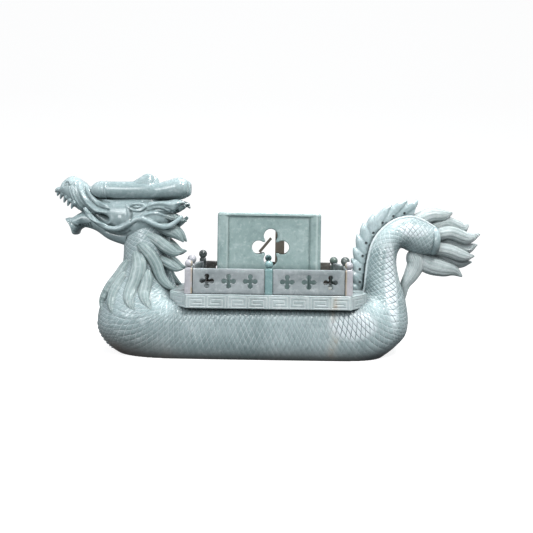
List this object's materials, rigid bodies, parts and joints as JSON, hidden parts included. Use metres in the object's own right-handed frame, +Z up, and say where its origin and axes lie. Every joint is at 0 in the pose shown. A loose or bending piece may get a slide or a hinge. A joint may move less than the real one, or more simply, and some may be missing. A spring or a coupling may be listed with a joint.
{
  "type": "hardstone dragon boat carving",
  "caption": "Carved hardstone boat whose hull is a dragon with a raised horned head and an arched tail, with a railed deck and a small cabin with pierced windows.",
  "frame": {"origin": "the middle of the flat keel, under the middle of the length", "axes": "+Z up, -X towards the dragon's head (the bow), +X towards the tail, +Y towards the far side"},
  "size_m": [0.3822, 0.104, 0.1547],
  "materials": {
    "celadon_stone": "polished",
    "green_stone": "polished",
    "lavender_stone": "polished",
    "teal_stone": "polished",
    "grey_stone": "polished",
    "panel_stone": "polished"
  },
  "bodies": {
    "root": {"dragon_hull": "celadon_stone", "cabin": "green_stone", "post_near_bow": "lavender_stone", "post_near_middle": "teal_stone", "post_near_stern": "lavender_stone", "post_end_stern": "grey_stone", "post_far_stern": "grey_stone", "post_far_middle": "teal_stone", "post_far_bow": "grey_stone", "post_end_bow": "lavender_stone", "panel_near_bow_to_near_middle": "panel_stone", "panel_near_middle_to_near_stern": "panel_stone", "panel_near_stern_to_end_stern": "panel_stone", "panel_end_stern_to_far_stern": "panel_stone", "panel_far_stern_to_far_middle": "panel_stone", "panel_far_middle_to_far_bow": "panel_stone", "panel_far_bow_to_end_bow": "panel_stone", "panel_end_bow_to_near_bow": "panel_stone"}
  },
  "joints": []
}
